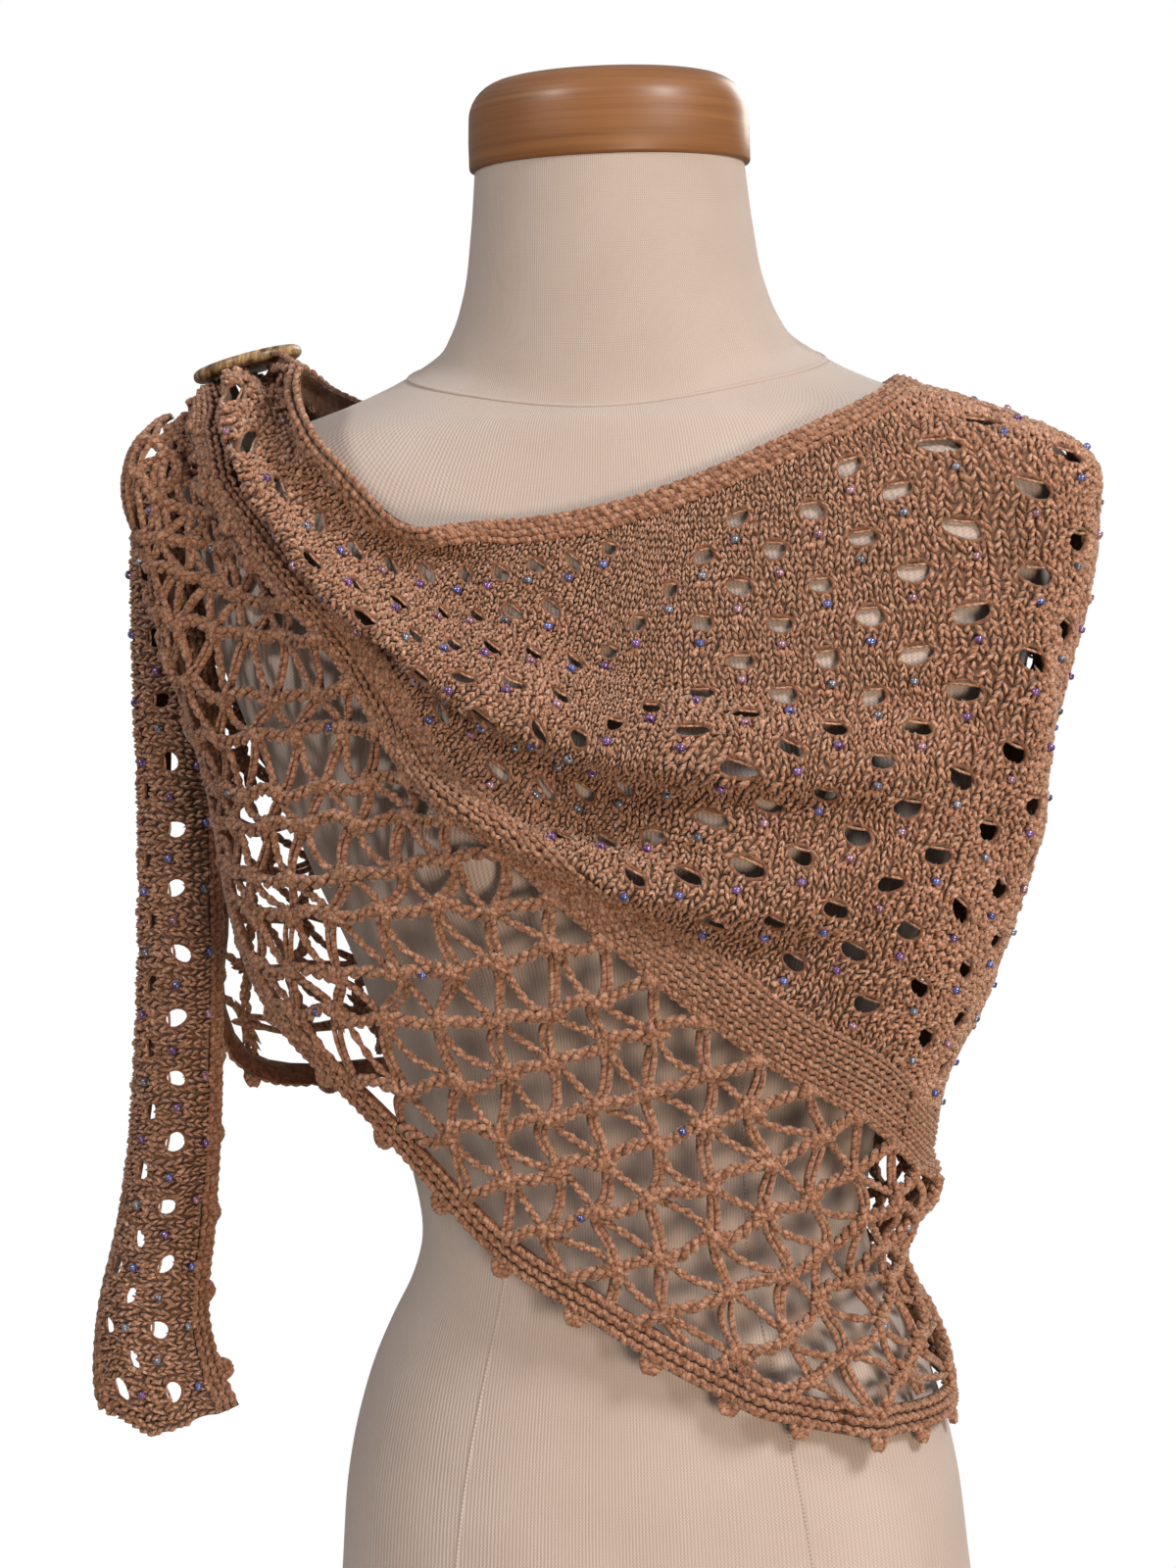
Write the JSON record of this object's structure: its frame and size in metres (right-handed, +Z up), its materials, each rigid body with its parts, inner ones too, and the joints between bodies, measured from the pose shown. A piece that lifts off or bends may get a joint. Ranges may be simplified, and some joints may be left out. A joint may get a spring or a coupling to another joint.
{
  "type": "beaded lace shawl on a dress form",
  "caption": "Knitted lace shawl with beads, wrapped about a limbless dress form with a wooden neck cap and gathered under one round wooden button on the right shoulder.",
  "frame": {"origin": "on the surface the form stands on, under the middle of the whole object's box", "axes": "+Z up along the form, -Y is the form's front, -X is its right shoulder with the button"},
  "size_m": [0.4484, 0.243, 0.7275],
  "materials": {
    "jersey": "fine ribbed jersey, matt",
    "cap_wood": "satin varnish",
    "lace_yarn": "two-ply wool, soft and hairy",
    "edging_yarn": "two-ply wool, soft and hairy",
    "button_wood": "polished, dark grain",
    "bead_glass": "lustred glass beads on the yarn"
  },
  "bodies": {
    "root": {"form_torso": "jersey", "form_neck": "jersey", "form_neck_cap": "cap_wood", "shawl_front_neck_edging": "edging_yarn", "shawl_front_eyelet_lace": "lace_yarn", "shawl_front_garter_band": "edging_yarn", "shawl_front_mesh_lace": "lace_yarn", "shawl_front_picot_hem": "edging_yarn", "shawl_side_neck_edging": "edging_yarn", "shawl_side_eyelet_lace": "lace_yarn", "shawl_side_garter_band": "edging_yarn", "shawl_side_mesh_lace": "lace_yarn", "shawl_side_picot_hem": "edging_yarn", "shawl_back_neck_edging": "edging_yarn", "shawl_back_eyelet_lace": "lace_yarn", "shawl_back_garter_band": "edging_yarn", "shawl_back_mesh_lace": "lace_yarn", "shawl_back_picot_hem": "edging_yarn", "shawl_tail_lace": "lace_yarn", "shawl_tail_picot_hem": "edging_yarn", "shoulder_button": "button_wood", "button_shank": "edging_yarn"}
  },
  "joints": []
}
